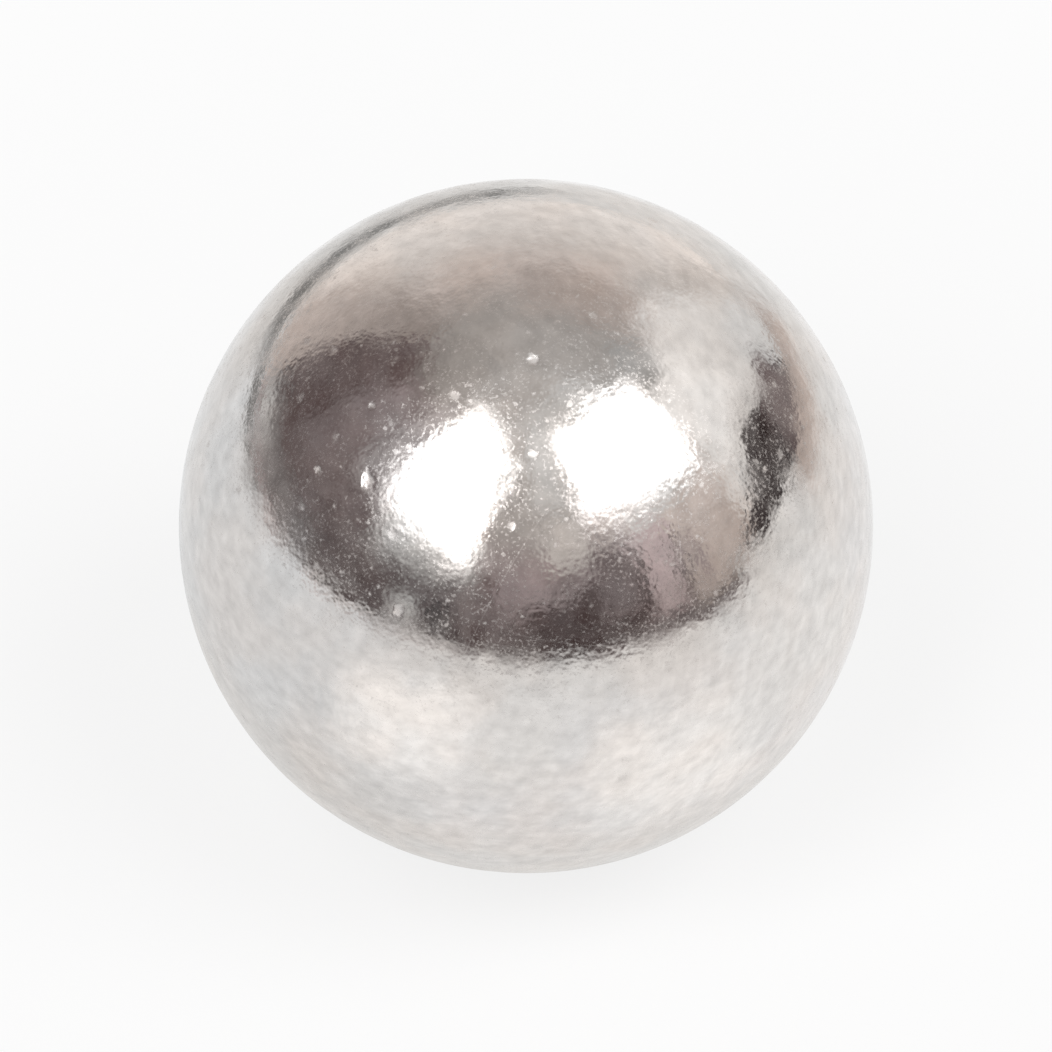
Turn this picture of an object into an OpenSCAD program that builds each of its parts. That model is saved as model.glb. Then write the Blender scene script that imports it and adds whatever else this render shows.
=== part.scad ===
// A loose steel ball: one solid sphere, ground and polished all over.
// Sizes are in millimetres, +Z is up and the origin is the centre of the ball.

/* [Ball] */
// Diameter of the ball, half an inch as drawn
ball_d = 12.7; // [3:0.1:50]

/* [Hidden] */

// Sides of the circles that stand for the round surface on the screen
round_sides = 128;

// The whole ball is one piece of steel, with no bore, flat or seam.
module ball() {
    color([0.78, 0.76, 0.75])
        sphere(d = ball_d, $fn = round_sides);
}

ball();
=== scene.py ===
"""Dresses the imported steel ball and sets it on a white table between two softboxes.

The ball is a bright, ground and tumbled sphere. A Geometry Nodes tree blows a cube up into its
mesh and sinks shallow dents into it, and a material adds the smaller pits, the hairlines and the
haze of the polish. The table, the flags round it, the lamps and the camera are staging.
Everything is in metres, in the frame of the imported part.
"""

import logging
import math
from dataclasses import dataclass
from enum import Enum
from typing import Union

import bpy
import numpy as np
from mathutils import Matrix, Vector, noise


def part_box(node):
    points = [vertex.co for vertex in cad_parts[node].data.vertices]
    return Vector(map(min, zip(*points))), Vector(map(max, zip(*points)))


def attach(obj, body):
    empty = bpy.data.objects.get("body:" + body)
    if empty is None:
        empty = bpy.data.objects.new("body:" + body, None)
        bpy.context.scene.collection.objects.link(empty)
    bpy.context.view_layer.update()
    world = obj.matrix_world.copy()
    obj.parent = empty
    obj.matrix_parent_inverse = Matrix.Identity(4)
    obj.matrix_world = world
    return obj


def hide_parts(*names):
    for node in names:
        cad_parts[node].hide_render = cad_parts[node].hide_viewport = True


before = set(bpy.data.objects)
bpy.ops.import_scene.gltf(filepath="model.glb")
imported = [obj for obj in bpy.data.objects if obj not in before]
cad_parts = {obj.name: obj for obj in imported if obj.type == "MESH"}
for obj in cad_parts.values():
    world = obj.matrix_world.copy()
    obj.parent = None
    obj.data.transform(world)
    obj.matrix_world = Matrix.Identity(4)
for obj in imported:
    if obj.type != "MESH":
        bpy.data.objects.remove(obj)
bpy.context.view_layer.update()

LOG = logging.getLogger("steel_ball")

BALL_NODE = "ball"
BODY = "root"
STEEL_SLOT = "polished_steel"

MM = 0.001
MM_PER_METRE = 1000.0
HALF = 0.5
SQUARE = 2.0
AXES = 3
UP = Vector((0.0, 0.0, 1.0))
TURN_DEG = 360.0
HALF_TURN_DEG = 180.0
EIGHTH_TURN = math.pi / 4.0
OPAQUE = 1.0
WHITE = (1.0, 1.0, 1.0, OPAQUE)
# Name of the mesh attribute that holds the colours of the flags and of the table, with their painted light
# and shade
SHADE = "shade"
# Most of a noise's values lie between these two
MIDDLE_OF_NOISE = (0.35, 0.65)

Triple = tuple[float, float, float]
Colour = Triple
Socket = bpy.types.NodeSocket
Source = Union[Socket, float, int, tuple, Vector]


class Interpolation(Enum):
    """How a Map Range node runs from one end of its range to the other."""

    STRAIGHT = "LINEAR"
    SMOOTH = "SMOOTHSTEP"


class Detail(Enum):
    """How many finer octaves lie over a noise."""

    NONE = 0.0
    LITTLE = 1.0
    SOME = 2.0
    MUCH = 3.0


class TreeKind(Enum):
    """Blender's names of the two kinds of node group."""

    SHADER = "ShaderNodeTree"
    GEOMETRY = "GeometryNodeTree"


class Kind(Enum):
    """What a socket of a node group carries."""

    NUMBER = "NodeSocketFloat"
    WHOLE_NUMBER = "NodeSocketInt"
    VECTOR = "NodeSocketVector"
    MATERIAL = "NodeSocketMaterial"
    GEOMETRY = "NodeSocketGeometry"


def direction(azimuth_deg: float, elevation_deg: float) -> Vector:
    """Gives the unit vector of a direction as seen from the ball.

    Args:
        azimuth_deg: 0 is towards the camera's side, -Y, and 90 is towards +X.
        elevation_deg: Height above the horizon.

    Returns:
        The direction in the part's frame.
    """
    azimuth = math.radians(azimuth_deg)
    elevation = math.radians(elevation_deg)
    level = math.cos(elevation)
    return Vector((math.sin(azimuth) * level, -math.cos(azimuth) * level, math.sin(elevation)))


def linked_object(name: str, data: bpy.types.ID) -> bpy.types.Object:
    """Makes an object and links it into the scene.

    Args:
        name: The object's name.
        data: Its mesh, lamp or camera.

    Returns:
        The new object.
    """
    made = bpy.data.objects.new(name, data)
    bpy.context.scene.collection.objects.link(made)
    return made


class NodeGraph:
    """Adds nodes to one tree and links them, so that a finish reads as a short recipe."""

    def __init__(self, tree: bpy.types.NodeTree) -> None:
        """Keeps the tree that the nodes go into."""
        self.tree = tree

    def feed(self, socket: Socket, source: Source) -> None:
        """Links a socket to another node's output, or sets its own value.

        Args:
            socket: The input to feed.
            source: An output, or a plain value.
        """
        if isinstance(source, Socket):
            self.tree.links.new(source, socket)
        else:
            socket.default_value = source

    def node(self, kind: str, **values: object) -> bpy.types.Node:
        """Adds a node, sets its properties and feeds its inputs.

        Args:
            kind: Blender's name of the node type.
            **values: Properties by their names, which have no capitals, and inputs by theirs,
                which start with one, with _ in place of a space.

        Returns:
            The new node.
        """
        made = self.tree.nodes.new(kind)
        for name, value in values.items():
            if name.islower():
                setattr(made, name, value)
        inputs = {socket.name: socket for socket in made.inputs if socket.enabled}
        for name, value in values.items():
            if not name.islower():
                self.feed(inputs[name.replace("_", " ")], value)
        return made

    def result(self, kind: str, **values: object) -> Socket:
        """Adds a node as node() does, and gives its first output in use."""
        return next(socket for socket in self.node(kind, **values).outputs if socket.enabled)

    def in_order(self, kind: str, *sources: Source, **settings: object) -> Socket:
        """Adds a node and feeds its inputs in their own order.

        Args:
            kind: Blender's name of the node type.
            *sources: What the inputs get.
            **settings: Properties of the node, by name.

        Returns:
            The node's first output in use.
        """
        made = self.node(kind, **settings)
        for socket, source in zip(made.inputs, sources):
            self.feed(socket, source)
        return next(socket for socket in made.outputs if socket.enabled)

    def end(self, kind: str, surface: Source) -> None:
        """Adds the tree's last node, of the given type, and gives it the surface."""
        self.feed(self.node(kind).inputs["Surface"], surface)

    def math(self, operation: str, *sources: Source) -> Socket:
        """Adds a Math node with one to three inputs."""
        return self.in_order("ShaderNodeMath", *sources, operation=operation)

    def chain(self, operation: str, first: Source, *others: Source) -> Source:
        """Takes one operation through a row of values.

        Args:
            operation: Blender's name of an operation with two inputs.
            first: The first value.
            *others: The values that are taken in one after the other.

        Returns:
            The last result.
        """
        value = first
        for other in others:
            value = self.math(operation, value, other)
        return value

    def vector_math(self, operation: str, *sources: Source) -> Socket:
        """Adds a Vector Math node with one or two vector inputs."""
        return self.in_order("ShaderNodeVectorMath", *sources, operation=operation)

    def scaled(self, vector: Source, factor: Source) -> Socket:
        """Multiplies a vector by one number."""
        return self.result("ShaderNodeVectorMath", operation="SCALE", Vector=vector, Scale=factor)

    def ramp(
        self,
        value: Source,
        start: Source,
        end: Source,
        to: tuple[Source, Source] = (0.0, 1.0),
        interpolation: Interpolation = Interpolation.SMOOTH,
    ) -> Socket:
        """Maps a value from the range start to end onto another range, and holds it there.

        Args:
            value: The value to map.
            start: Where the range starts.
            end: Where the range ends.
            to: The results at the start and at the end.
            interpolation: Straight or smooth.

        Returns:
            The result's socket.
        """
        low, high = to
        return self.result(
            "ShaderNodeMapRange",
            interpolation_type=interpolation.value,
            clamp=True,
            Value=value,
            From_Min=start,
            From_Max=end,
            To_Min=low,
            To_Max=high,
        )

    def between(self, share: Source, low: Source, high: Source) -> Socket:
        """Gives the value that lies at this share of the way from low to high."""
        return self.ramp(share, 0.0, 1.0, (low, high), Interpolation.STRAIGHT)

    def band(self, distance: Source, width: Source) -> Socket:
        """Gives 1 on the middle line of a band, fading to 0 at its edges."""
        return self.ramp(distance, 0.0, self.math("MULTIPLY", width, HALF), (1.0, 0.0))

    def bowl(self, distance: Source, radius: Source, sharpness: float) -> Socket:
        """Gives the profile of a round dent.

        Args:
            distance: Distance from the dent's middle.
            radius: Radius of the dent.
            sharpness: How closely the bowl keeps to the middle.

        Returns:
            1 in the middle, and 0 from the rim outwards.
        """
        reach = self.math("POWER", self.math("DIVIDE", distance, radius), SQUARE)
        rise = self.math("MAXIMUM", self.math("SUBTRACT", 1.0, reach), 0.0)
        return self.math("POWER", rise, sharpness)

    def knock(self, place: Source, centre: Source, squeeze: Source, radius: Source) -> Socket:
        """Gives the mask of one mark at its own place.

        Args:
            place: Place on the ball.
            centre: Middle of the mark.
            squeeze: How much narrower the mark is along each axis.
            radius: Radius of the mark.

        Returns:
            1 in the middle, and 0 from the rim outwards.
        """
        apart = self.vector_math("SUBTRACT", place, centre)
        squeezed = self.vector_math("MULTIPLY", apart, squeeze)
        return self.ramp(self.vector_math("LENGTH", squeezed), radius, 0.0)

    def blend(self, factor: Source, first: Source, second: Source) -> Socket:
        """Mixes two colours, the first where the factor is 0."""
        return self.result("ShaderNodeMix", data_type="RGBA", Factor=factor, A=first, B=second)

    def noise(self, place: Source, scale: Source, detail: Detail = Detail.LITTLE) -> Socket:
        """Adds a 3D noise, about 0.5 on average.

        Args:
            place: Where the noise is read, in millimetres.
            scale: Features per millimetre.
            detail: How many finer octaves lie over it.

        Returns:
            The noise's value.
        """
        return self.result("ShaderNodeTexNoise", Vector=place, Scale=scale, Detail=detail.value)


def bare_graph(owner: Union[bpy.types.Material, bpy.types.Light, bpy.types.World]) -> NodeGraph:
    """Switches on the nodes of a material, a lamp or a world, and takes out those it comes with.

    Args:
        owner: What the nodes belong to.

    Returns:
        Its empty graph.
    """
    owner.use_nodes = True
    owner.node_tree.nodes.clear()
    return NodeGraph(owner.node_tree)


def numbers(*names: str) -> dict[str, Kind]:
    """Gives sockets that carry one number each, by name."""
    return {name: Kind.NUMBER for name in names}


def new_group(
    name: str, kind: TreeKind, inputs: dict[str, Kind], outputs: dict[str, Kind]
) -> tuple[NodeGraph, dict[str, Socket], dict[str, Socket]]:
    """Makes an empty node group with named sockets.

    Args:
        name: The group's name.
        kind: Shader or geometry.
        inputs: What each input carries, by name.
        outputs: What each output carries, by name.

    Returns:
        The group's graph, its input values by name and the sockets that its results go into.
    """
    tree = bpy.data.node_groups.new(name, kind.value)
    for in_out, sockets in (("INPUT", inputs), ("OUTPUT", outputs)):
        for label, carried in sockets.items():
            tree.interface.new_socket(name=label, in_out=in_out, socket_type=carried.value)
    graph = NodeGraph(tree)
    given = graph.node("NodeGroupInput").outputs
    wanted = graph.node("NodeGroupOutput").inputs
    return graph, {label: given[label] for label in inputs}, {label: wanted[label] for label in outputs}


def tumble_pit_group() -> bpy.types.NodeTree:
    """Makes the group that scatters small pits, as knocks between tumbling balls leave.

    Returns:
        A group that puts out the height in millimetres and a mask of the pits.
    """
    smallest_share_of_width = 0.35
    rim_sharpness = 1.5
    graph, given, wanted = new_group(
        "tumble_pits",
        TreeKind.SHADER,
        {"Place": Kind.VECTOR, **numbers("Spacing", "Width", "Depth", "Share")},
        numbers("Height", "Mask"),
    )
    per_spacing = graph.math("DIVIDE", 1.0, given["Spacing"])
    cells = graph.node(
        "ShaderNodeTexVoronoi",
        feature="F1",
        distance="EUCLIDEAN",
        Vector=graph.scaled(given["Place"], per_spacing),
        Scale=1.0,
        Randomness=1.0,
    ).outputs
    chance = graph.node("ShaderNodeSeparateColor", Color=cells["Color"]).outputs
    distance = graph.math("MULTIPLY", cells["Distance"], given["Spacing"])
    size = graph.between(chance["Green"], smallest_share_of_width, 1.0)
    radius = graph.chain("MULTIPLY", given["Width"], HALF, size)
    there = graph.math("LESS_THAN", chance["Red"], given["Share"])
    mask = graph.math("MULTIPLY", graph.bowl(distance, radius, rim_sharpness), there)
    depth = graph.math("MULTIPLY", given["Depth"], size)
    graph.feed(wanted["Height"], graph.chain("MULTIPLY", mask, depth, -1.0))
    graph.feed(wanted["Mask"], mask)
    return graph.tree


def streak_group() -> bpy.types.NodeTree:
    """Makes the group that draws fine cloudy streaks round one axis.

    Returns:
        A group that puts out the streaks, about 0.5 on average.
    """
    graph, given, wanted = new_group(
        "streaks",
        TreeKind.SHADER,
        {"Place": Kind.VECTOR, "Axis": Kind.VECTOR, **numbers("Squeeze", "Per Millimetre")},
        numbers("Value"),
    )
    along = graph.vector_math("DOT_PRODUCT", given["Place"], given["Axis"])
    flat = graph.scaled(given["Place"], given["Squeeze"])
    rest = graph.math("MULTIPLY", along, graph.math("SUBTRACT", 1.0, given["Squeeze"]))
    # Places are drawn together across the axis, so the noise stretches into streaks round it
    drawn = graph.vector_math("ADD", flat, graph.scaled(given["Axis"], rest))
    graph.feed(wanted["Value"], graph.noise(drawn, given["Per Millimetre"], Detail.SOME))
    return graph.tree


def hairline_group() -> bpy.types.NodeTree:
    """Makes the group that draws one family of hairlines: arcs of circles round one axis.

    Returns:
        A group that puts out a mask, 1 in the middle of a hairline.
    """
    line_margin = 0.15
    steepest_fade = (0.25, 0.5)
    least_sine = 0.05
    seed_stride = 7.31
    reach_mm = 6.0
    graph, given, wanted = new_group(
        "hairlines",
        TreeKind.SHADER,
        {
            "Place": Kind.VECTOR,
            "Axis": Kind.VECTOR,
            "Side": Kind.VECTOR,
            **numbers("Bend", "Spacing", "Width", "Length", "Seed"),
        },
        numbers("Mask"),
    )
    along = graph.vector_math("DOT_PRODUCT", given["Place"], given["Axis"])
    rung = graph.math("DIVIDE", graph.math("ADD", along, given["Bend"]), given["Spacing"])
    number = graph.math("MULTIPLY_ADD", given["Seed"], seed_stride, graph.math("FLOOR", rung))
    luck = graph.node("ShaderNodeTexWhiteNoise", noise_dimensions="1D", W=number)
    chance = graph.node("ShaderNodeSeparateColor", Color=luck.outputs["Color"]).outputs
    middle = graph.between(chance["Red"], line_margin, 1.0 - line_margin)
    off = graph.math("ABSOLUTE", graph.math("SUBTRACT", graph.math("FRACT", rung), middle))
    outward = graph.vector_math("NORMALIZE", given["Place"])
    cosine = graph.vector_math("DOT_PRODUCT", outward, given["Axis"])
    sine = graph.math("SQRT", graph.math("SUBTRACT", 1.0, graph.math("MULTIPLY", cosine, cosine)))
    widening = graph.math("MAXIMUM", sine, least_sine)
    off_mm = graph.math("DIVIDE", graph.math("MULTIPLY", off, given["Spacing"]), widening)
    # Each line is drawn on one stretch only, at its own place along the side direction
    sideways = graph.vector_math("DOT_PRODUCT", given["Place"], given["Side"])
    stretch = graph.between(chance["Green"], -reach_mm, reach_mm)
    apart = graph.math("ABSOLUTE", graph.math("SUBTRACT", sideways, stretch))
    shown = graph.chain(
        "MULTIPLY",
        graph.band(off_mm, given["Width"]),
        graph.band(apart, given["Length"]),
        graph.ramp(sine, *steepest_fade),
        chance["Blue"],
    )
    graph.feed(wanted["Mask"], shown)
    return graph.tree


def knock_group() -> bpy.types.NodeTree:
    """Makes the group that sinks one small mark at a chosen place.

    Returns:
        A group that puts out a mask, 1 in the middle of the mark.
    """
    graph, given, wanted = new_group(
        "single_knock",
        TreeKind.SHADER,
        {"Place": Kind.VECTOR, "Centre": Kind.VECTOR, "Squeeze": Kind.VECTOR, "Radius": Kind.NUMBER},
        numbers("Mask"),
    )
    mask = graph.knock(given["Place"], given["Centre"], given["Squeeze"], given["Radius"])
    graph.feed(wanted["Mask"], mask)
    return graph.tree


@dataclass(frozen=True)
class PitField:
    """Small pits of one grade, scattered over the whole ball.

    Attributes:
        spacing_mm: Mean distance between two possible pits.
        width_mm: Width of the largest pit.
        depth_mm: Depth of the largest pit, 0 where its dullness alone shows it.
        share: Share of the places that hold a pit.
        shift_mm: Moves the pattern, so that two grades don't line up.
    """

    spacing_mm: float
    width_mm: float
    depth_mm: float
    share: float
    shift_mm: Triple

    def place(self, graph: NodeGraph, group: bpy.types.NodeTree, place: Source) -> bpy.types.Node:
        """Puts this field into a material.

        Args:
            graph: The material's graph.
            group: The group of the pits.
            place: Place on the ball, in millimetres.

        Returns:
            The field's group node.
        """
        return graph.node(
            "ShaderNodeGroup",
            node_tree=group,
            Place=graph.vector_math("ADD", place, self.shift_mm),
            Spacing=self.spacing_mm,
            Width=self.width_mm,
            Depth=self.depth_mm,
            Share=self.share,
        )


@dataclass(frozen=True)
class HairlineFamily:
    """Hairlines that run round one axis.

    Attributes:
        axis: Azimuth and elevation of the axis, in degrees.
        spacing_mm: Distance between two possible hairlines.
        width_mm: Width of a hairline.
        length_mm: Length of the longest hairline.
        seed: Tells the families apart.
    """

    axis: tuple[float, float]
    spacing_mm: float
    width_mm: float
    length_mm: float
    seed: float

    def place(
        self, graph: NodeGraph, group: bpy.types.NodeTree, place: Source, bend: Source
    ) -> Socket:
        """Puts this family into a material.

        Args:
            graph: The material's graph.
            group: The group of the hairlines.
            place: Place on the ball, in millimetres.
            bend: How far the hairlines stray from true circles there.

        Returns:
            The hairlines' mask.
        """
        axis = direction(*self.axis)
        return graph.result(
            "ShaderNodeGroup",
            node_tree=group,
            Place=place,
            Bend=bend,
            Axis=axis,
            Side=axis.cross(UP).normalized(),
            Spacing=self.spacing_mm,
            Width=self.width_mm,
            Length=self.length_mm,
            Seed=self.seed,
        )


@dataclass(frozen=True)
class Knock:
    """One mark that shows in the photograph, at its own place on the ball.

    Attributes:
        azimuth_deg: Azimuth of the mark's place on the ball.
        elevation_deg: Elevation of the mark's place on the ball.
        width_mm: Width of the mark.
        depth_mm: Depth of the mark.
        squeeze: How much narrower the mark is along X, Y and Z.
    """

    azimuth_deg: float
    elevation_deg: float
    width_mm: float
    depth_mm: float
    squeeze: Triple = (1.0, 1.0, 1.0)

    def place(
        self, graph: NodeGraph, group: bpy.types.NodeTree, place: Source, radius_mm: float
    ) -> Socket:
        """Puts this mark into a material.

        Args:
            graph: The material's graph.
            group: The group of a single knock.
            place: Place on the ball, in millimetres.
            radius_mm: Radius of the ball.

        Returns:
            The mark's mask.
        """
        return graph.result(
            "ShaderNodeGroup",
            node_tree=group,
            Place=place,
            Centre=direction(self.azimuth_deg, self.elevation_deg) * radius_mm,
            Squeeze=self.squeeze,
            Radius=self.width_mm * HALF,
        )


SEEN_KNOCKS = (
    # Ring above the two highlights
    Knock(3.3, 69.9, 0.34, 0.020),
    # Bright specks between the highlights
    Knock(-3.0, 42.5, 0.25, 0.012),
    Knock(2.0, 54.0, 0.22, 0.011),
    # Upright nick and specks left of the highlights
    Knock(-37.4, 44.0, 0.54, 0.016, (1.75, 1.0, 1.0)),
    Knock(-50.4, 40.9, 0.22, 0.010),
    Knock(-47.7, 54.5, 0.23, 0.010),
    # Short bright cluster under the left highlight
    Knock(-23.2, 25.9, 0.36, 0.014, (1.5, 1.0, 1.0)),
)


@dataclass(frozen=True)
class PolishedSteel:
    """Bright tumbled steel: a mirror with fine pits, hairlines and a faint uneven haze.

    Attributes:
        radius_mm: Radius of the ball.
        warm: Colour of the steel where it looks warm.
        cool: Colour of the steel where it looks cool.
        streak_contrast: How far the streaks darken and brighten the steel.
        streak_axes: Azimuth and elevation of the axes that the two sets of streaks run round.
        streak_squeeze: Width of a streak as a share of its length.
        streaks_per_mm: Streaks per millimetre.
        roughness: Roughness of the clearest and of the haziest places.
        pit_roughness: What a pit adds to the roughness.
        knock_roughness: What a knock adds to the roughness.
        hairline_roughness: What a hairline adds to the roughness.
        bend_per_mm: Bends of the hairlines per millimetre.
        bend_mm: How far the hairlines bend.
        mottle_per_mm: Warm and cool patches per millimetre.
        haze_per_mm: Hazy patches per millimetre.
        wear_per_mm: Worn patches per millimetre.
        least_wear: Depth of the marks in the least worn patches, as a share.
        grain_per_mm: Features per millimetre of the finest grain.
        grain_depth_mm: Height of the finest grain.
        wander_per_mm: Features per millimetre of the crookedness of the pits.
        wander_mm: How far the outlines of the pits stray.
        frost_per_mm: Frosted specks per millimetre.
        frost_range: Values of the specks' noise between which the frost sets in.
        frost_roughness: What the frost adds to the roughness.
        pits: The grades of pits.
        hairlines: The families of hairlines.
        knocks: The marks at their own places.
    """

    radius_mm: float
    warm: Colour = (0.715, 0.675, 0.650)
    cool: Colour = (0.690, 0.672, 0.662)
    streak_contrast: float = 0.31
    streak_axes: tuple[tuple[float, float], ...] = ((0.0, 78.0), (-52.0, 28.0))
    streak_squeeze: float = 0.55
    streaks_per_mm: float = 5.2
    roughness: tuple[float, float] = (0.080, 0.180)
    pit_roughness: float = 0.23
    knock_roughness: float = 0.42
    hairline_roughness: float = 0.10
    bend_per_mm: float = 0.12
    bend_mm: float = 1.6
    mottle_per_mm: float = 0.55
    haze_per_mm: float = 1.5
    wear_per_mm: float = 0.5
    least_wear: float = 0.45
    grain_per_mm: float = 8.0
    grain_depth_mm: float = 0.0050
    wander_per_mm: float = 11.0
    wander_mm: float = 0.09
    frost_per_mm: float = 20.0
    frost_range: tuple[float, float] = (0.50, 0.74)
    frost_roughness: float = 0.16
    pits: tuple[PitField, ...] = (
        PitField(0.56, 0.30, 0.0034, 0.42, (3.5, 1.0, 2.0)),
        PitField(0.22, 0.15, 0.0, 0.62, (-2.0, 4.0, 1.0)),
    )
    hairlines: tuple[HairlineFamily, ...] = (
        HairlineFamily((20.0, 75.0), 0.34, 0.040, 7.0, 1.0),
        HairlineFamily((-70.0, 20.0), 0.40, 0.034, 6.0, 2.0),
        HairlineFamily((60.0, -15.0), 0.45, 0.044, 8.0, 3.0),
        HairlineFamily((150.0, 40.0), 0.36, 0.034, 5.0, 4.0),
    )
    knocks: tuple[Knock, ...] = SEEN_KNOCKS

    def build(self, name: str) -> bpy.types.Material:
        """Makes the material.

        Args:
            name: The material's name.

        Returns:
            The material, with its pattern on the piece's Object coordinates.
        """
        material = bpy.data.materials.new(name)
        graph = bare_graph(material)
        place = graph.scaled(graph.node("ShaderNodeTexCoord").outputs["Object"], MM_PER_METRE)
        height, pits, knocks = self._marks(graph, place)
        grain = graph.math("MULTIPLY", graph.noise(place, self.grain_per_mm), self.grain_depth_mm)
        worn = graph.noise(place, self.wear_per_mm)
        normal = graph.result(
            "ShaderNodeBump",
            Strength=graph.ramp(worn, *MIDDLE_OF_NOISE, (self.least_wear, 1.0)),
            Distance=MM,
            Height=graph.math("ADD", height, grain),
        )
        haze = graph.noise(place, self.haze_per_mm, Detail.MUCH)
        frost = graph.noise(place, self.frost_per_mm)
        rough = graph.ramp(haze, *MIDDLE_OF_NOISE, self.roughness)
        for mask, added in (
            (pits, self.pit_roughness),
            (knocks, self.knock_roughness),
            (self._hairlines(graph, place), self.hairline_roughness),
            (graph.ramp(frost, *self.frost_range), self.frost_roughness),
        ):
            rough = graph.math("MULTIPLY_ADD", mask, added, rough)
        shader = graph.result(
            "ShaderNodeBsdfPrincipled",
            Base_Color=self._colour(graph, place),
            Metallic=1.0,
            Roughness=rough,
            Normal=normal,
        )
        graph.end("ShaderNodeOutputMaterial", shader)
        return material

    def _colour(self, graph: NodeGraph, place: Source) -> Socket:
        """Mixes the warm and the cool steel, and draws the streaks over them.

        Args:
            graph: The material's graph.
            place: Place on the ball, in millimetres.

        Returns:
            The steel's colour.
        """
        mottle = graph.ramp(graph.noise(place, self.mottle_per_mm, Detail.MUCH), *MIDDLE_OF_NOISE)
        steel = graph.blend(mottle, (*self.warm, OPAQUE), (*self.cool, OPAQUE))
        group = streak_group()
        sets = [
            graph.result(
                "ShaderNodeGroup",
                node_tree=group,
                Place=place,
                Axis=direction(*axis),
                Squeeze=self.streak_squeeze,
                Per_Millimetre=self.streaks_per_mm,
            )
            for axis in self.streak_axes
        ]
        both = graph.math("SUBTRACT", graph.math("ADD", *sets), 1.0)
        return graph.scaled(steel, graph.math("MULTIPLY_ADD", both, self.streak_contrast, 1.0))

    def _marks(self, graph: NodeGraph, place: Source) -> tuple[Source, Source, Source]:
        """Adds every pit and every knock.

        Args:
            graph: The material's graph.
            place: Place on the ball, in millimetres.

        Returns:
            The height of all marks, the mask of the pits and the mask of the knocks.
        """
        wander = graph.node(
            "ShaderNodeTexNoise", Vector=place, Scale=self.wander_per_mm, Detail=Detail.NONE.value
        )
        stray = graph.vector_math("SUBTRACT", wander.outputs["Color"], (HALF,) * AXES)
        crooked = graph.vector_math("ADD", place, graph.scaled(stray, self.wander_mm))
        pit_group, mark_group = tumble_pit_group(), knock_group()
        fields = [grade.place(graph, pit_group, crooked).outputs for grade in self.pits]
        masks = [mark.place(graph, mark_group, crooked, self.radius_mm) for mark in self.knocks]
        height: Source = 0.0
        for grade, field in zip(self.pits, fields):
            if grade.depth_mm > 0.0:
                height = graph.math("ADD", field["Height"], height)
        for mark, mask in zip(self.knocks, masks):
            height = graph.math("MULTIPLY_ADD", mask, -mark.depth_mm, height)
        pits = graph.chain("MAXIMUM", *(field["Mask"] for field in fields))
        return height, pits, graph.chain("MAXIMUM", *masks)

    def _hairlines(self, graph: NodeGraph, place: Source) -> Source:
        """Adds every family of hairlines.

        Args:
            graph: The material's graph.
            place: Place on the ball, in millimetres.

        Returns:
            The mask of all hairlines.
        """
        group = hairline_group()
        bend = graph.math("MULTIPLY", graph.noise(place, self.bend_per_mm), self.bend_mm)
        masks = [family.place(graph, group, place, bend) for family in self.hairlines]
        return graph.chain("MAXIMUM", *masks)


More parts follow.
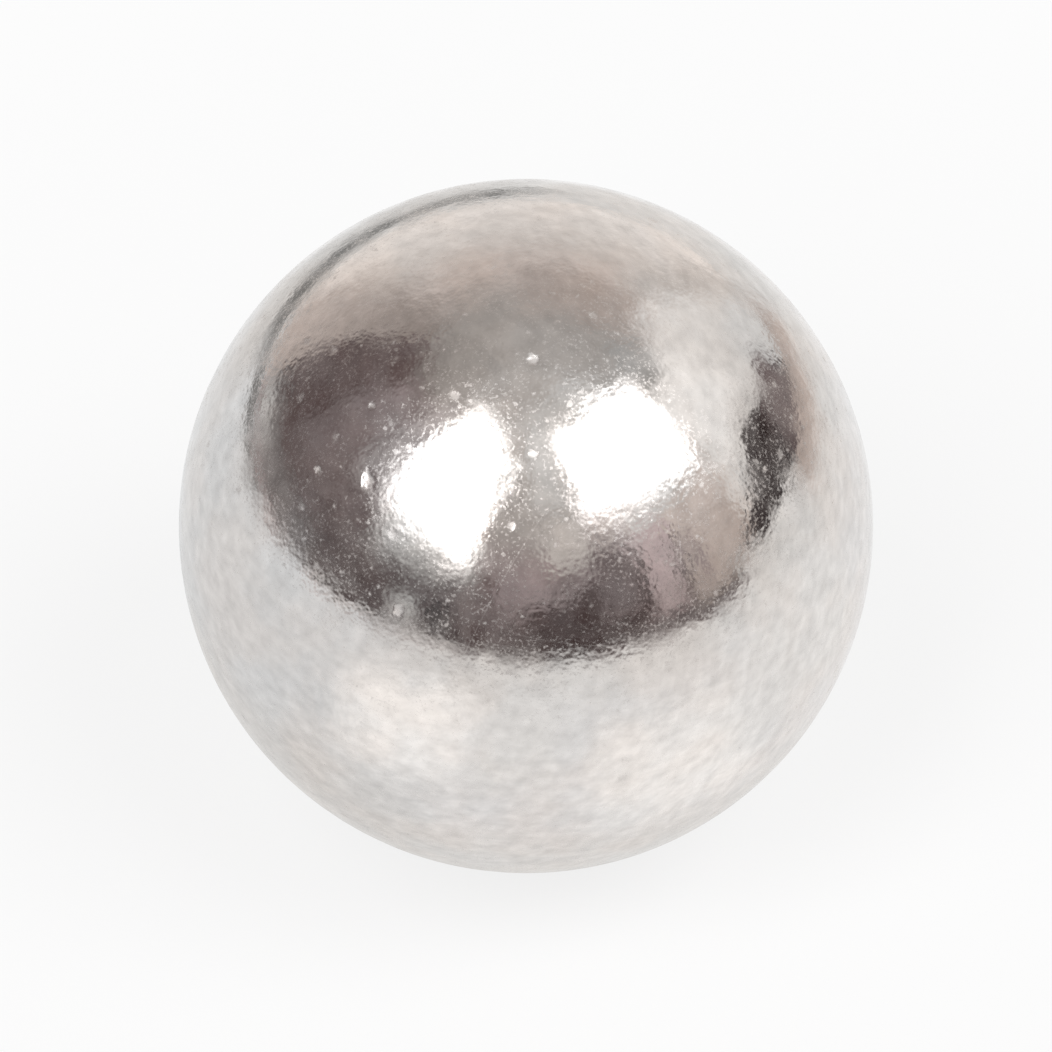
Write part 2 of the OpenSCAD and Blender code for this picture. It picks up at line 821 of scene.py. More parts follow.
@dataclass
class SteelBall:
    """The ball itself: one solid sphere, dented a few thousandths of a millimetre deep.

    Attributes:
        radius: Radius of the ball, in metres.
        divisions: Faces along each side of the cube that is blown up into the sphere.
        dent_spacing: Least distance between two dents.
        dent_width: Width of the narrowest and of the widest dent.
        dent_depth_share: Depth of a dent as a share of its width.
        seed: Seed of the dents' places and sizes.
        name: Name of the piece.
        candidates_per_spacing: How many places are tried for each dent.
        knocks: The marks at their own places.
        least_knock: Width of the narrowest mark that the mesh shows.
        knock_share: Depth of a mark in the mesh, as a share of its depth in the finish.
    """

    radius: float
    divisions: int = 128
    dent_spacing: float = 0.00085
    dent_width: tuple[float, float] = (0.00032, 0.00075)
    dent_depth_share: float = 0.0044
    seed: int = 11
    name: str = "polished_ball"
    candidates_per_spacing: float = 12.0
    knocks: tuple[Knock, ...] = SEEN_KNOCKS
    least_knock: float = 0.00026
    knock_share: float = 0.5

    def tree(self) -> bpy.types.NodeTree:
        """Makes the Geometry Nodes tree of a dented cube-sphere.

        Returns:
            The tree, with its sizes as named inputs.
        """
        graph, given, wanted = new_group(
            "dented_ball",
            TreeKind.GEOMETRY,
            {
                "Divisions": Kind.WHOLE_NUMBER,
                "Seed": Kind.WHOLE_NUMBER,
                "Steel": Kind.MATERIAL,
                **numbers("Radius", "Dent Spacing", "Narrowest Dent", "Widest Dent", "Depth Share"),
            },
            {"Geometry": Kind.GEOMETRY},
        )
        sphere = self._cube_sphere(graph, given)
        dented = self._knocked(graph, given, self._dented(graph, given, sphere))
        smooth = graph.result("GeometryNodeSetShadeSmooth", Geometry=dented)
        real = graph.result("GeometryNodeRealizeInstances", Geometry=smooth)
        dressed = graph.result("GeometryNodeSetMaterial", Geometry=real, Material=given["Steel"])
        graph.feed(wanted["Geometry"], dressed)
        return graph.tree

    @staticmethod
    def _cube_sphere(graph: NodeGraph, given: dict[str, Socket]) -> Socket:
        """Blows a divided cube up into a sphere with faces of nearly one size.

        Args:
            graph: The tree's graph.
            given: The tree's inputs, by name.

        Returns:
            The sphere.
        """
        cube_side = 2.0
        corners = graph.math("ADD", given["Divisions"], 1.0)
        cube = graph.result(
            "GeometryNodeMeshCube",
            Size=(cube_side,) * AXES,
            Vertices_X=corners,
            Vertices_Y=corners,
            Vertices_Z=corners,
        )
        position = graph.result("GeometryNodeInputPosition")
        even = graph.vector_math("TANGENT", graph.scaled(position, EIGHTH_TURN))
        placed = graph.scaled(graph.vector_math("NORMALIZE", even), given["Radius"])
        return graph.result("GeometryNodeSetPosition", Geometry=cube, Position=placed)

    def _dented(self, graph: NodeGraph, given: dict[str, Socket], sphere: Socket) -> Socket:
        """Sinks a shallow bowl round each of the scattered dent centres.

        Args:
            graph: The tree's graph.
            given: The tree's inputs, by name.
            sphere: The plain sphere.

        Returns:
            The dented sphere.
        """
        rim_sharpness = 2.0
        spacing = given["Dent Spacing"]
        centres = graph.result(
            "GeometryNodeDistributePointsOnFaces",
            distribute_method="POISSON",
            Mesh=sphere,
            Distance_Min=spacing,
            Density_Max=graph.math(
                "DIVIDE", self.candidates_per_spacing, graph.math("POWER", spacing, SQUARE)
            ),
            Seed=given["Seed"],
        )
        own_width = graph.result(
            "FunctionNodeRandomValue",
            data_type="FLOAT",
            Min=given["Narrowest Dent"],
            Max=given["Widest Dent"],
            Seed=given["Seed"],
        )
        position = graph.result("GeometryNodeInputPosition")
        nearest = graph.result(
            "GeometryNodeSampleNearest", domain="POINT", Geometry=centres, Sample_Position=position
        )
        centre, width = (
            graph.result(
                "GeometryNodeSampleIndex",
                data_type=kind,
                domain="POINT",
                Geometry=centres,
                Value=value,
                Index=nearest,
            )
            for kind, value in (("FLOAT_VECTOR", position), ("FLOAT", own_width))
        )
        distance = graph.vector_math("DISTANCE", position, centre)
        bowl = graph.bowl(distance, graph.math("MULTIPLY", width, HALF), rim_sharpness)
        return self._sunk(graph, sphere, graph.chain("MULTIPLY", width, given["Depth Share"], bowl))

    def _knocked(self, graph: NodeGraph, given: dict[str, Socket], dented: Socket) -> Socket:
        """Sinks the wider of the knocks that show in the photograph.

        Args:
            graph: The tree's graph.
            given: The tree's inputs, by name.
            dented: The dented sphere.

        Returns:
            The sphere with its knocks.
        """
        position = graph.result("GeometryNodeInputPosition")
        depth: Source = 0.0
        for mark in self.knocks:
            width = mark.width_mm * MM
            if width < self.least_knock:
                continue
            centre = graph.scaled(direction(mark.azimuth_deg, mark.elevation_deg), given["Radius"])
            bowl = graph.knock(position, centre, mark.squeeze, width * HALF)
            deepest = mark.depth_mm * MM * self.knock_share
            depth = graph.math("MULTIPLY_ADD", bowl, deepest, depth)
        return self._sunk(graph, dented, depth)

    @staticmethod
    def _sunk(graph: NodeGraph, surface: Socket, depth: Source) -> Socket:
        """Moves every point of the ball's surface towards its centre.

        Args:
            graph: The tree's graph.
            surface: The surface so far.
            depth: How far each point moves.

        Returns:
            The new surface.
        """
        outward = graph.vector_math("NORMALIZE", graph.result("GeometryNodeInputPosition"))
        inward = graph.scaled(outward, graph.math("MULTIPLY", depth, -1.0))
        return graph.result("GeometryNodeSetPosition", Geometry=surface, Offset=inward)

    def build(self, steel: bpy.types.Material) -> bpy.types.Object:
        """Makes the ball's mesh and hands it to the frame.

        Args:
            steel: The finish.

        Returns:
            The finished piece.
        """
        empty = bpy.data.meshes.new(self.name)
        ball = linked_object(self.name, empty)
        modifier = ball.modifiers.new("dented_ball", "NODES")
        modifier.node_group = self.tree()
        narrowest, widest = self.dent_width
        values = {
            "Radius": self.radius,
            "Divisions": self.divisions,
            "Dent Spacing": self.dent_spacing,
            "Narrowest Dent": narrowest,
            "Widest Dent": widest,
            "Depth Share": self.dent_depth_share,
            "Seed": self.seed,
            "Steel": steel,
        }
        for item in modifier.node_group.interface.items_tree:
            if item.in_out == "INPUT":
                modifier[item.identifier] = values[item.name]
        ball.update_tag()
        bpy.context.view_layer.update()
        evaluated = ball.evaluated_get(bpy.context.evaluated_depsgraph_get())
        ball.data = bpy.data.meshes.new_from_object(evaluated)
        ball.modifiers.clear()
        bpy.data.meshes.remove(empty)
        ball.data.name = self.name
        self._lay_out_map(ball.data)
        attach(ball, BODY)
        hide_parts(BALL_NODE)
        return ball

    @staticmethod
    def _lay_out_map(mesh: bpy.types.Mesh) -> None:
        """Gives the mesh a map of six even tiles, one for each side of the cube it came from.

        Args:
            mesh: The ball's finished mesh.
        """
        map_name = "OFBake"
        tiles_across, tiles_up = 3, 2
        margin = 0.004
        points = values_of(mesh.vertices, "co", AXES, np.float32)
        corners = values_of(mesh.loops, "vertex_index", 1, np.int32).ravel()
        middles = values_of(mesh.polygons, "center", AXES, np.float32)
        sizes = values_of(mesh.polygons, "loop_total", 1, np.int32).ravel()
        # Each face lies on the side of the cube that its middle points to most
        face_axis = np.abs(middles).argmax(1)
        face_side = (middles[np.arange(len(middles)), face_axis] > 0).astype(int)
        axis = np.repeat(face_axis, sizes)
        side = np.repeat(face_side, sizes)
        at_corner = points[corners]
        rows = np.arange(len(at_corner))
        along = np.abs(at_corner[rows, axis])
        across, up = (
            np.arctan(at_corner[rows, (axis + step) % AXES] / along) / EIGHTH_TURN for step in (1, 2)
        )
        across = np.where(side == 1, across, -across)
        inner = 1.0 - margin - margin
        u = (axis + margin + inner * (across + 1.0) * HALF) / tiles_across
        v = (side + margin + inner * (up + 1.0) * HALF) / tiles_up
        layer = mesh.uv_layers.new(name=map_name)
        layer.data.foreach_set("uv", np.stack([u, v], 1).astype(np.float32).ravel())


def values_of(
    items: bpy.types.bpy_prop_collection, attribute: str, across: int, kind: type
) -> np.ndarray:
    """Reads one attribute of all of a mesh's vertices, corners or faces.

    Args:
        items: The vertices, corners or faces.
        attribute: Name of the attribute.
        across: Numbers that each of them holds.
        kind: Type of the numbers.

    Returns:
        One row for each item.
    """
    values = np.empty(len(items) * across, kind)
    items.foreach_get(attribute, values)
    return values.reshape(-1, across)


def eased(value: np.ndarray, start: float, end: float) -> np.ndarray:
    """Rises smoothly from 0 to 1 and stays there.

    Args:
        value: The values to ease.
        start: Where the rise starts.
        end: Where the rise ends, before or after the start.

    Returns:
        A share for each value.
    """
    share = np.clip((value - start) / (end - start), 0.0, 1.0)
    return HALF - HALF * np.cos(math.pi * share)


class Cast(Enum):
    """Colour cast of a cloth: its red, green and blue as shares of its brightness."""

    WARM = (1.06, 1.0, 0.95)
    TAN = (1.15, 1.0, 0.92)
    BROWN = (1.20, 1.0, 1.0)
    SLATE = (1.08, 1.0, 0.99)
    UMBER = (1.29, 1.0, 0.98)
    PLAIN = (1.01, 1.0, 0.98)
    COOL = (0.98, 1.0, 1.01)


@dataclass(frozen=True)
class Flag:
    """One patch of the studio's surroundings, as the ball mirrors it.

    Attributes:
        centre: Azimuth of its middle, in degrees, 0 towards the camera and 90 towards +X.
        half_width: Half its width, in degrees.
        low: Elevation of its lower edge.
        high: Elevation of its upper edge.
        low_level: Brightness at the lower edge.
        high_level: Brightness at the upper edge.
        cast: Its colour cast.
        sides: Width of the fade at its sides.
        top: Width of the fade at its upper edge.
        foot: Width of the fade at its lower edge.
        tilt: Rise of its edges for each degree of azimuth.
        gable: Fall of its upper edge for each degree away from its middle.
    """

    centre: float
    half_width: float
    low: float
    high: float
    low_level: float
    high_level: float
    cast: Cast = Cast.WARM
    sides: float = 4.0
    top: float = 4.0
    foot: float = 3.0
    tilt: float = 0.0
    gable: float = 0.0

    def hang(self, azimuth: np.ndarray, elevation: np.ndarray, behind: np.ndarray) -> np.ndarray:
        """Lays this flag over the colours behind it.

        Args:
            azimuth: Azimuth of each point, in degrees.
            elevation: Elevation of each point.
            behind: Colour of each point without this flag.

        Returns:
            The new colour of each point.
        """
        off = (azimuth - self.centre + HALF_TURN_DEG) % TURN_DEG - HALF_TURN_DEG
        spread = np.abs(off)
        level = elevation - off * self.tilt
        mask = eased(spread, self.half_width, self.half_width - self.sides)
        mask *= eased(level, self.low, self.low + self.foot)
        mask *= eased(level + spread * self.gable, self.high, self.high - self.top)
        share = np.clip((level - self.low) / (self.high - self.low), 0.0, 1.0)
        brightness = self.low_level + share * (self.high_level - self.low_level)
        own = brightness[:, None] * np.array(self.cast.value)
        return behind + mask[:, None] * (own - behind)


@dataclass(frozen=True)
class Surroundings:
    """Flags laid over white, with crooked edges and blotches.

    Attributes:
        flags: The flags, those behind first.
        wobble_deg: How far the edges of the flags stray, in degrees.
        wobbles: Wobbles of the edges per radian.
        blotch_level: How much brightness the blotches add and take away.
        blotches: Blotches per radian.
        seed: Seed of the wobbles.
    """

    flags: tuple[Flag, ...]
    wobble_deg: float
    wobbles: float
    blotch_level: float
    blotches: float
    seed: int = 5

    def paint(self, mesh: bpy.types.Mesh) -> None:
        """Works out a colour for every point of a mesh round the ball, and keeps it there.

        Args:
            mesh: The mesh, with the ball's centre at its origin.
        """
        channels = 3
        octaves, gain, lacunarity = 3, 1.0, 2.0
        noise.seed_set(self.seed)
        outward = [point.co.normalized() for point in mesh.vertices]
        x, y, z = np.array(outward).T
        stray = np.array([noise.noise_vector(place * self.wobbles) for place in outward])
        azimuth = np.degrees(np.arctan2(x, -y)) + stray[:, 0] * self.wobble_deg
        elevation = np.degrees(np.arcsin(z)) + stray[:, 1] * self.wobble_deg
        colour = np.ones((len(outward), channels))
        for flag in self.flags:
            colour = flag.hang(azimuth, elevation, colour)
        blotch = [noise.fractal(place * self.blotches, gain, lacunarity, octaves) for place in outward]
        colour += np.array(blotch)[:, None] * self.blotch_level
        opaque = np.full((len(outward), 1), OPAQUE)
        with_alpha = np.concatenate([np.maximum(colour, 0.0), opaque], 1)
        layer = mesh.color_attributes.new(name=SHADE, type="FLOAT_COLOR", domain="POINT")
        layer.data.foreach_set("color", with_alpha.astype(np.float32).ravel())


def disc_faces(sides: int, rings: int) -> list[tuple[int, ...]]:
    """Gives the faces of a disc or dome: a fan round point 0, then rings of four-sided faces.

    Args:
        sides: Points in each ring.
        rings: Number of rings.

    Returns:
        The faces, as indices of their points.
    """
    after = [(i, (i + 1) % sides) for i in range(sides)]
    faces: list[tuple[int, ...]] = [(0, 1 + i, 1 + j) for i, j in after]
    for ring in range(rings - 1):
        inner = 1 + ring * sides
        outer = inner + sides
        faces += [(inner + i, outer + i, outer + j, inner + j) for i, j in after]
    return faces


def glowing(name: str) -> tuple[bpy.types.Material, NodeGraph]:
    """Makes a bare material that glows without counting as a lamp.

    Args:
        name: The material's name.

    Returns:
        The material and its empty graph.
    """
    material = bpy.data.materials.new(name)
    graph = bare_graph(material)
    material.cycles.emission_sampling = "NONE"
    return material, graph


def staged_mesh(
    name: str,
    points: list[tuple[float, ...]],
    faces: list[tuple[int, ...]],
    shades: Surroundings,
    material: bpy.types.Material,
    unseen_by: tuple[str, ...] = (),
) -> bpy.types.Object:
    """Makes one piece of the studio, colours it and hides it from the given kinds of ray.

    Args:
        name: The piece's name.
        points: Its points, with the ball's centre at the origin.
        faces: Its faces, as indices of their points.
        shades: The colours that the ball mirrors.
        material: What it is made of.
        unseen_by: Kinds of ray that pass through it.

    Returns:
        The staged object.
    """
    mesh = bpy.data.meshes.new(name)
    mesh.from_pydata(points, [], faces)
    mesh.update()
    shades.paint(mesh)
    mesh.materials.append(material)
    piece = linked_object(name, mesh)
    for ray in unseen_by:
        setattr(piece, f"visible_{ray}", False)
    return piece


@dataclass
class StudioRoom:
    """The studio round the table, which only the ball's mirror shows: glowing flags painted with the light
    and shade of a room.

    Attributes:
        radius: Distance of the surroundings from the ball, in metres.
        cloths: What hangs there.
    """

    radius: float = 1.6
    cloths: Surroundings = Surroundings(
        wobble_deg=1.7,
        wobbles=9.0,
        blotch_level=0.06,
        blotches=11.0,
        flags=(
            # Wall all round, and the ceiling
            Flag(0.0, 200.0, -8.0, 90.0, 1.07, 0.20, top=1.0),
            Flag(0.0, 200.0, 22.0, 120.0, 0.74, 0.10, Cast.TAN, foot=24.0),
            Flag(0.0, 200.0, 42.0, 120.0, 0.34, 0.69, Cast.WARM, foot=22.0),
            Flag(-114.0, 30.0, 48.0, 84.0, 0.28, 0.46, Cast.WARM, sides=12.0, top=8.0, foot=8.0),
            Flag(48.0, 62.0, 56.0, 86.0, 0.64, 0.71, Cast.PLAIN, sides=24.0, top=8.0, foot=8.0),
            # Pale wall on the right, with a darker corner behind it
            Flag(116.0, 36.0, -8.0, 56.0, 0.74, 1.02, Cast.PLAIN, sides=14.0, top=12.0, tilt=-0.2),
            Flag(104.0, 22.0, 18.0, 54.0, 1.06, 1.14, Cast.PLAIN, sides=14.0, top=10.0, foot=10.0),
            Flag(149.0, 8.0, -4.0, 44.0, 0.74, 0.62, Cast.WARM, sides=7.0, top=6.0),
            Flag(161.0, 26.0, 36.0, 66.0, 0.50, 0.42, Cast.TAN, sides=12.0, top=10.0, foot=10.0),
            Flag(113.0, 18.0, 46.0, 66.0, 0.46, 0.48, Cast.PLAIN, sides=9.0, top=7.0, foot=6.0),
            # Dark screen on the left, and the wall in its shade
            Flag(-133.0, 23.0, -8.0, 62.0, 0.64, 0.26, Cast.TAN, sides=17.0, top=12.0),
            Flag(-104.5, 25.5, -8.0, 66.0, 0.11, 0.14, Cast.UMBER, top=16.0),
            Flag(-64.0, 30.0, -8.0, 64.0, 0.12, 0.22, Cast.BROWN, sides=12.0, top=10.0),
            Flag(-94.0, 15.0, 12.0, 62.0, 0.17, 0.28, Cast.BROWN, sides=11.0, top=8.0, foot=8.0),
            Flag(-74.0, 12.0, 26.0, 72.0, 0.30, 0.60, Cast.SLATE, sides=9.0, top=10.0, foot=12.0),
            Flag(-98.0, 34.0, 0.0, 14.0, 0.24, 0.19, Cast.SLATE, sides=10.0, top=5.0, foot=2.0),
            Flag(-119.0, 12.0, 1.0, 8.5, 0.74, 0.44, Cast.PLAIN, sides=7.0, top=3.0, foot=2.0),
            Flag(-112.0, 20.0, -8.0, 1.8, 0.50, 0.42, Cast.BROWN, sides=6.0, top=1.4),
            # Dark corner on the front left, with pale things in it, and the glow under the lamp
            Flag(-46.0, 34.0, -8.0, 34.0, 0.07, 0.18, Cast.BROWN, sides=10.0, top=10.0),
            Flag(-43.0, 20.0, 13.0, 40.0, 0.19, 0.94, Cast.PLAIN, sides=10.0, top=4.0, foot=11.0),
            Flag(-40.0, 7.0, 2.0, 16.0, 0.74, 0.24, Cast.PLAIN, sides=5.0, foot=3.0, top=6.0),
            Flag(-28.0, 5.0, 3.0, 17.0, 0.06, 0.08, Cast.SLATE, sides=3.0, top=6.0),
            Flag(-52.0, 36.0, -8.0, 2.4, 0.76, 0.54, Cast.PLAIN, sides=8.0, top=2.0),
            # Grey wall between the lamps
            Flag(5.0, 28.0, -8.0, 50.0, 0.13, 0.36, Cast.BROWN, sides=8.0, top=8.0),
            Flag(4.0, 26.0, 26.0, 68.0, 0.38, 0.54, Cast.WARM, sides=8.0, top=8.0, foot=16.0),
            Flag(16.0, 12.0, 22.0, 46.0, 0.48, 0.74, Cast.WARM, sides=6.0, top=6.0, foot=8.0),
            Flag(12.0, 13.0, 42.0, 74.0, 0.66, 0.90, Cast.PLAIN, sides=8.0, top=8.0, foot=10.0),
            Flag(-9.0, 8.0, 47.0, 64.0, 0.25, 0.29, Cast.WARM, sides=5.0, top=5.0, foot=5.0),
            Flag(-9.0, 10.0, 61.0, 77.0, 0.62, 0.66, Cast.WARM, sides=6.0, top=5.0, foot=5.0),
            Flag(3.0, 8.0, 14.0, 32.0, 0.30, 0.38, Cast.BROWN, sides=5.0, top=6.0, foot=5.0),
            Flag(-6.0, 8.0, -8.0, 28.0, 0.06, 0.38, Cast.BROWN, sides=5.0, top=8.0),
            Flag(-14.0, 6.0, -8.0, 30.0, 0.06, 0.17, Cast.UMBER, sides=4.0, top=8.0),
            Flag(-23.0, 9.0, 17.0, 38.0, 0.18, 0.84, Cast.PLAIN, sides=6.0, top=4.0, foot=8.0),
            # Post and curtain on the front right, with the bench in front of them
            Flag(64.0, 20.0, -8.0, 36.0, 0.40, 0.68, Cast.TAN, sides=5.0, top=8.0),
            Flag(46.5, 10.0, -8.0, 36.0, 0.28, 0.66, Cast.BROWN, sides=5.0, top=8.0),
            Flag(36.5, 6.0, -8.0, 38.0, 0.20, 0.32, Cast.BROWN, sides=5.0, top=8.0),
            Flag(30.0, 7.0, 4.0, 34.0, 0.12, 0.20, Cast.BROWN, sides=5.0, top=6.0),
            Flag(17.0, 27.0, -30.0, 20.0, 0.05, 0.09, Cast.UMBER, tilt=0.36, top=3.0),
            Flag(31.5, 9.0, 5.0, 28.0, 0.18, 0.17, Cast.BROWN, sides=6.0, top=6.0, foot=5.0),
            Flag(62.0, 24.0, 28.0, 44.0, 0.66, 0.96, Cast.PLAIN, sides=8.0, top=4.0, foot=8.0),
            Flag(58.0, 20.0, -8.0, 4.0, 0.24, 0.28, Cast.TAN, sides=8.0, top=3.0),
            Flag(47.0, 10.0, -8.0, 5.0, 0.08, 0.14, Cast.BROWN, sides=3.0, top=3.0),
            # Seams of the curtain
            Flag(54.8, 2.6, 1.0, 29.0, 0.09, 0.18, Cast.BROWN, sides=1.4),
            Flag(61.0, 2.0, 4.0, 24.0, 0.26, 0.36, Cast.BROWN, sides=1.4),
            # Dark cloth on the right, and the pale strip at its foot
            Flag(
                101.8, 33.0, -30.0, 23.5, 0.04, 0.06, Cast.BROWN, sides=2.0, top=1.5, tilt=0.06, gable=0.66
            ),
            Flag(121.0, 13.0, -8.0, 15.0, 0.17, 0.20, Cast.BROWN, sides=8.0, top=4.0),
            Flag(91.0, 22.0, -8.0, 2.5, 1.04, 0.92, Cast.PLAIN, sides=6.0, top=1.4),
        ),
    )

    def build(self) -> bpy.types.Object:
        """Makes the round of flags.

        Returns:
            The staged object, which only glossy rays see.
        """
        segments, rings = 480, 126
        highest, span = 90.0, 94.5
        points = [tuple(UP * self.radius)]
        for ring in range(1, rings + 1):
            elevation = highest - ring * span / rings
            for segment in range(segments):
                azimuth = segment * TURN_DEG / segments
                points.append(tuple(direction(azimuth, elevation) * self.radius))
        rays = ("camera", "diffuse", "shadow", "transmission", "volume_scatter")
        faces = disc_faces(segments, rings)
        return staged_mesh("studio_flags", points, faces, self.cloths, self._cloth(), rays)

    @staticmethod
    def _cloth() -> bpy.types.Material:
        """Makes the flags' material, which shines at its own brightness.

        Returns:
            The material.
        """
        material, graph = glowing("flag_cloth")
        shade = graph.result("ShaderNodeAttribute", attribute_name=SHADE)
        graph.end("ShaderNodeOutputMaterial", graph.result("ShaderNodeEmission", Color=shade))
        return material


def background_rays(graph: NodeGraph) -> Source:
    """Gives 1 on the rays that look at the background: the camera's, and those of metal and glass.

    Args:
        graph: The graph of the table's material or of the world.

    Returns:
        1 on those rays and 0 on all others.
    """
    path = graph.node("ShaderNodeLightPath").outputs
    rays = ("Is Camera Ray", "Is Glossy Ray", "Is Transmission Ray")
    return graph.chain("MAXIMUM", *(path[ray] for ray in rays))


@dataclass
class WhiteTable:
    """The plain pale table that the ball lies on.

    Attributes:
        height: Height of its top, in metres.
        radius: How far it reaches.
        paint: Colour of its top.
        near_white: Share of plain white in the background close to the ball, where its shadow lies.
        shadow_reach: Distances between which the shadow gives way to plain white.
        shades: Painted light and shade on the table, and its dark lines, as the ball mirrors them.
    """

    height: float
    radius: float = 3.0
    paint: Colour = (0.86, 0.86, 0.86)
    near_white: float = 0.78
    shadow_reach: tuple[float, float] = (0.012, 0.05)
    shades: Surroundings = Surroundings(
        wobble_deg=1.6,
        wobbles=5.0,
        blotch_level=0.05,
        blotches=13.0,
        flags=(
            # Painted shade: greyer towards the edge of the table, far from the lamps
            Flag(0.0, 200.0, -20.0, 3.0, 1.0, 0.84, Cast.PLAIN, foot=14.0, top=1.0),
            # Painted shade: greyer on the left, behind and close to the ball
            Flag(-95.0, 85.0, -80.0, 10.0, 0.90, 0.89, Cast.COOL, sides=50.0, top=1.0, foot=20.0),
            Flag(-167.0, 40.0, -17.0, 2.0, 0.80, 0.78, Cast.PLAIN, sides=22.0, top=1.0, foot=7.0),
            Flag(155.0, 34.0, -17.0, 2.0, 0.90, 0.86, Cast.PLAIN, sides=14.0, top=1.0, foot=7.0),
            # Painted shadow on the table behind on the right
            Flag(127.0, 26.0, -8.0, 3.0, 0.66, 0.42, Cast.TAN, sides=12.0, top=1.0, foot=4.0),
            Flag(0.0, 200.0, -90.0, -38.0, 0.82, 0.92, Cast.PLAIN, top=14.0),
            Flag(-75.0, 62.0, -90.0, -28.0, 0.80, 0.86, Cast.PLAIN, sides=34.0, top=12.0),
            Flag(-2.0, 16.0, -36.0, -8.0, 1.04, 1.00, Cast.PLAIN, sides=10.0, top=8.0, foot=8.0),
            # Pools of light under the lamps
            Flag(-32.0, 25.0, -38.0, -7.0, 1.20, 1.32, Cast.PLAIN, sides=17.0, top=9.0, foot=14.0),
            Flag(40.0, 32.0, -50.0, -14.0, 1.24, 1.18, Cast.PLAIN, sides=18.0, top=10.0, foot=14.0),
            Flag(80.0, 30.0, -40.0, -8.0, 1.07, 1.06, Cast.PLAIN, sides=16.0, top=10.0, foot=12.0),
            # Dark line along its far edge, in front, and a fainter one on the left
            Flag(45.0, 35.0, -4.0, 1.0, 0.26, 0.03, Cast.BROWN, sides=14.0, top=1.0, foot=2.2, tilt=-0.01),
            Flag(-4.0, 24.0, -2.3, 1.0, 0.17, 0.04, Cast.BROWN, sides=8.0, top=1.0, foot=1.4),
            Flag(-60.0, 50.0, -2.0, 4.0, 0.66, 0.50, Cast.SLATE, sides=20.0, top=1.0, foot=1.4),
            # Thin dark line far behind on the left
            Flag(-162.0, 26.0, -7.4, -1.8, 0.26, 0.26, Cast.PLAIN, sides=12.0, top=2.0, foot=2.0),
            Flag(-128.0, 32.0, -4.2, -0.7, 0.24, 0.28, Cast.PLAIN, sides=8.0, top=1.0, foot=1.4, tilt=0.06),
        ),
    )

    def build(self) -> bpy.types.Object:
        """Makes the table's top.

        Returns:
            The staged object.
        """
        sides, rings = 180, 72
        innermost = 0.002
        points = [(0.0, 0.0, self.height)]
        for ring in range(rings):
            reach = innermost * (self.radius / innermost) ** (ring / (rings - 1))
            for side in range(sides):
                angle = math.tau * side / sides
                points.append((reach * math.cos(angle), reach * math.sin(angle), self.height))
        return staged_mesh("white_table", points, disc_faces(sides, rings), self.shades, self._top())

    def _top(self) -> bpy.types.Material:
        """Makes the table's paint, which turns to glowing plain white away from the ball's shadow; glossy
        rays see the painted light and shade there instead of white.

        Returns:
            The material.
        """
        material, graph = glowing("table_top")
        paint = graph.result("ShaderNodeBsdfDiffuse", Color=(*self.paint, OPAQUE))
        shade = graph.result("ShaderNodeAttribute", attribute_name=SHADE)
        seen = graph.node("ShaderNodeLightPath").outputs["Is Camera Ray"]
        # The camera sees plain white; glossy rays see the table's painted light and shade
        white = graph.result("ShaderNodeEmission", Color=graph.blend(seen, shade, WHITE))
        distance = graph.vector_math("LENGTH", graph.node("ShaderNodeTexCoord").outputs["Object"])
        share = graph.ramp(distance, *self.shadow_reach, (self.near_white, 1.0))
        whitened = graph.math("MULTIPLY", share, background_rays(graph))
        mixed = graph.in_order("ShaderNodeMixShader", whitened, paint, white)
        graph.end("ShaderNodeOutputMaterial", mixed)
        return material


@dataclass(frozen=True)
class Softbox:
    """One softbox lamp.

    Attributes:
        name: The lamp's name.
        place: Azimuth and elevation of its middle, seen from the ball, in degrees.
        distance: Distance of its middle from the ball, in metres.
        facing: Azimuth and elevation of the direction from which its front is seen square on.
        roll_deg: Turn about that direction.
        size: Its width and height, in metres.
        watts: Its power.
        edge_share: Share of its width over which its light fades at each edge.
    """

    name: str
    place: tuple[float, float]
    distance: float
    facing: tuple[float, float]
    roll_deg: float
    size: tuple[float, float] = (0.53, 0.74)
    watts: float = 6.6
    edge_share: float = 0.26

    def build(self) -> bpy.types.Object:
        """Makes the lamp and hangs it in its place.

        Returns:
            The lamp's object.
        """
        light = bpy.data.lights.new(self.name, "AREA")
        light.shape = "RECTANGLE"
        light.size, light.size_y = self.size
        light.energy = self.watts
        graph = bare_graph(light)
        on_face = graph.node("ShaderNodeNewGeometry").outputs["Parametric"]
        face = graph.node("ShaderNodeSeparateXYZ", Vector=on_face).outputs
        fades = [self._fade(graph, face[side]) for side in "XY"]
        glow = graph.result("ShaderNodeEmission", Strength=graph.math("MINIMUM", *fades))
        graph.end("ShaderNodeOutputLight", glow)
        back = direction(*self.facing)
        across = UP.cross(back).normalized()
        up = back.cross(across)
        turn = Matrix.Rotation(math.radians(self.roll_deg), AXES, back)
        # A lamp shines along its own -Z, so its +Z points away from the ball
        axes = Matrix((turn @ across, turn @ up, back)).transposed()
        lamp = linked_object(self.name, light)
        lamp.matrix_world = Matrix.Translation(direction(*self.place) * self.distance) @ axes.to_4x4()
        return lamp

    def _fade(self, graph: NodeGraph, across: Source) -> Socket:
        """Fades the light towards the two edges that one direction across the lamp crosses.

        Args:
            graph: The lamp's graph.
            across: Place along that direction, from 0 at one edge to 1 at the other.

        Returns:
            1 over the middle, and 0 at the edges.
        """
        from_middle = graph.math("ABSOLUTE", graph.math("SUBTRACT", across, HALF))
        return graph.ramp(graph.math("SUBTRACT", HALF, from_middle), 0.0, self.edge_share)


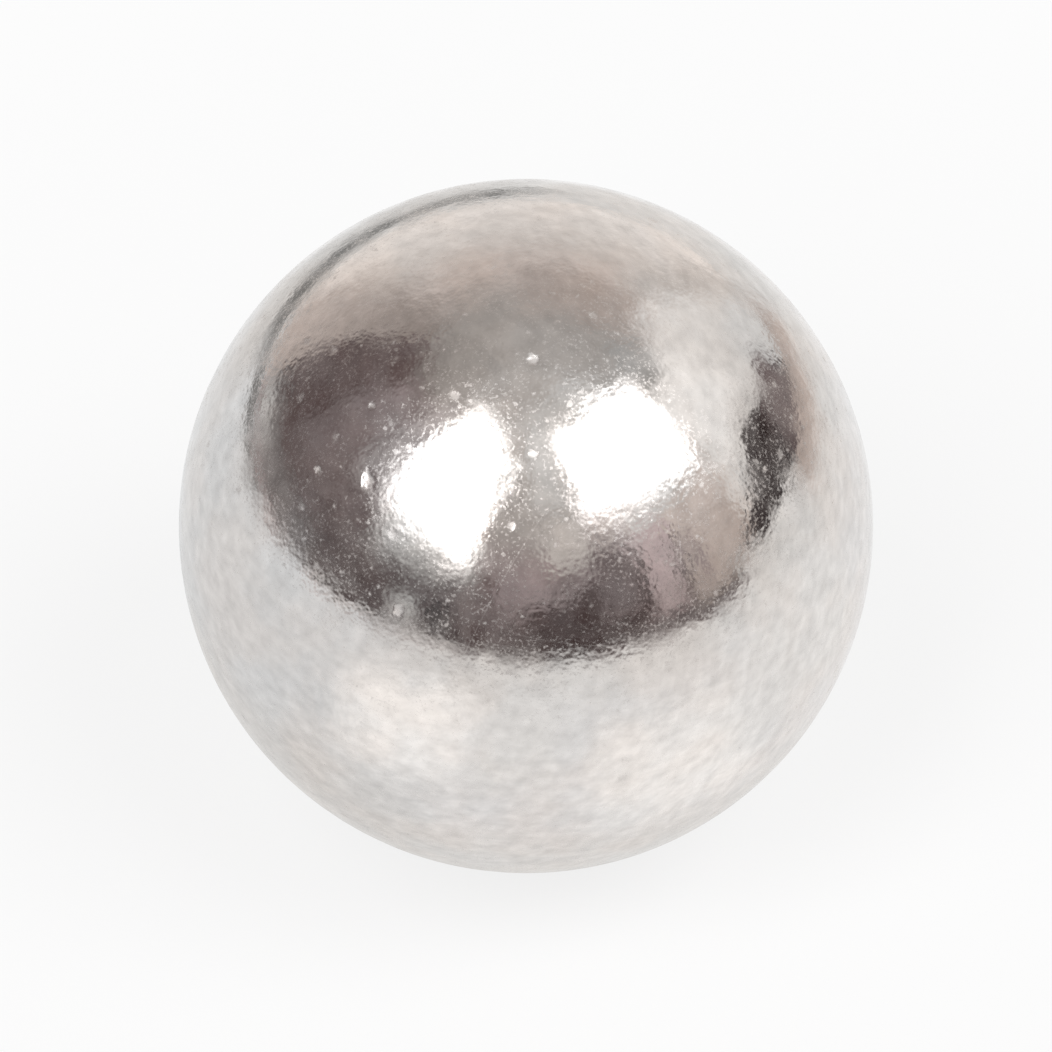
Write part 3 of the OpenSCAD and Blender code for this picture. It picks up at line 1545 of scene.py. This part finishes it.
@dataclass
class Studio:
    """The lamps, the world and the camera.

    Attributes:
        elevation_deg: How far the camera looks down.
        lens_mm: Focal length of the camera's lens.
        sensor_mm: Width of the camera's sensor.
        ball_share: Width of the ball as a share of the picture's.
        ambient: Brightness of the white room where it lights the table.
        nearest_share: Where the camera's view starts, as a share of its distance from the ball.
        farthest_share: Where the camera's view ends, as a share of that distance.
        lamps: The two softboxes.
    """

    elevation_deg: float = 42.5
    lens_mm: float = 300.0
    sensor_mm: float = 36.0
    ball_share: float = 0.66
    ambient: float = 0.35
    nearest_share: float = 0.1
    farthest_share: float = 100.0
    lamps: tuple[Softbox, ...] = (
        Softbox("left_softbox", (-34.8, 57.8), 0.829, (-69.2, 7.6), -0.3, (0.478, 0.936), 8.1),
        Softbox("right_softbox", (61.2, 57.2), 0.926, (52.2, 24.7), 80.5, (0.668, 0.750), 7.4),
    )

    def build(self, ball_radius: float) -> None:
        """Lights the table and aims the camera at the ball.

        Args:
            ball_radius: Radius of the ball, in metres.
        """
        for softbox in self.lamps:
            lamp = softbox.build()
            LOG.info("%s: hung, %.1f W", lamp.name, softbox.watts)
        self._world()
        camera = self._camera(ball_radius)
        LOG.info("%s: %.2f m from the ball", camera.name, camera.location.length)
        bpy.context.scene.view_settings.view_transform = "Standard"

    def _world(self) -> None:
        """Makes the white room, which lights the table only softly."""
        world = bpy.data.worlds.new("white_room")
        graph = bare_graph(world)
        world.cycles.sampling_method = "NONE"
        strength = graph.between(background_rays(graph), self.ambient, 1.0)
        sky = graph.result("ShaderNodeBackground", Color=WHITE, Strength=strength)
        graph.end("ShaderNodeOutputWorld", sky)
        bpy.context.scene.world = world

    def _camera(self, ball_radius: float) -> bpy.types.Object:
        """Puts the camera at the photograph's angle and aims it at the middle of the ball.

        Args:
            ball_radius: Radius of the ball, in metres.

        Returns:
            The camera's object.
        """
        data = bpy.data.cameras.new("camera")
        data.lens = self.lens_mm
        data.sensor_width = self.sensor_mm
        half_view = self.sensor_mm * HALF / self.lens_mm
        slope = self.ball_share * half_view
        distance = ball_radius * math.sqrt(1.0 + slope**2) / slope
        data.clip_start = distance * self.nearest_share
        data.clip_end = distance * self.farthest_share
        camera = linked_object("camera", data)
        back = direction(0.0, self.elevation_deg)
        camera.location = back * distance
        camera.rotation_mode = "QUATERNION"
        camera.rotation_quaternion = (-back).to_track_quat("-Z", "Y")
        bpy.context.scene.camera = camera
        return camera


def main() -> None:
    """Builds the ball, the table, the flags, the lamps and the camera in order."""
    logging.basicConfig(level=logging.INFO, format="%(message)s")
    low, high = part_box(BALL_NODE)
    radius = (high.z - low.z) * HALF
    steel = PolishedSteel(radius_mm=radius * MM_PER_METRE).build(STEEL_SLOT)
    ball = SteelBall(radius=radius).build(steel)
    LOG.info("%s: %d faces", ball.name, len(ball.data.polygons))
    for staging in (WhiteTable(height=low.z), StudioRoom()):
        piece = staging.build()
        LOG.info("%s: staged, %d faces", piece.name, len(piece.data.polygons))
    Studio().build(radius)


if __name__ == "__main__":
    main()
